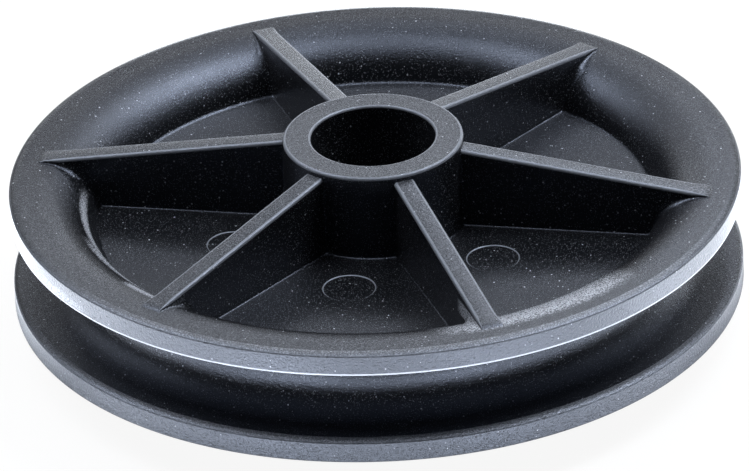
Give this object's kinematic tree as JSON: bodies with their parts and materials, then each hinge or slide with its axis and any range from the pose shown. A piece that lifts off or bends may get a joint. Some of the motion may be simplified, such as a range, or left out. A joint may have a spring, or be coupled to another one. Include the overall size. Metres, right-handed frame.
{
  "type": "wire rope sheave",
  "caption": "Moulded plastic rope sheave with a round-bottomed groove, ribbed web and a long plain-bored hub.",
  "frame": {"origin": "centre of the bore, on the wheel's middle plane", "axes": "+Z along the bore, out of the side that bears the ejector marks; +X through one of the ribs"},
  "size_m": [0.15, 0.15, 0.0434],
  "materials": {
    "sheave": "fine spark-eroded grain, satin black"
  },
  "bodies": {
    "root": {"sheave": "sheave"}
  },
  "joints": []
}
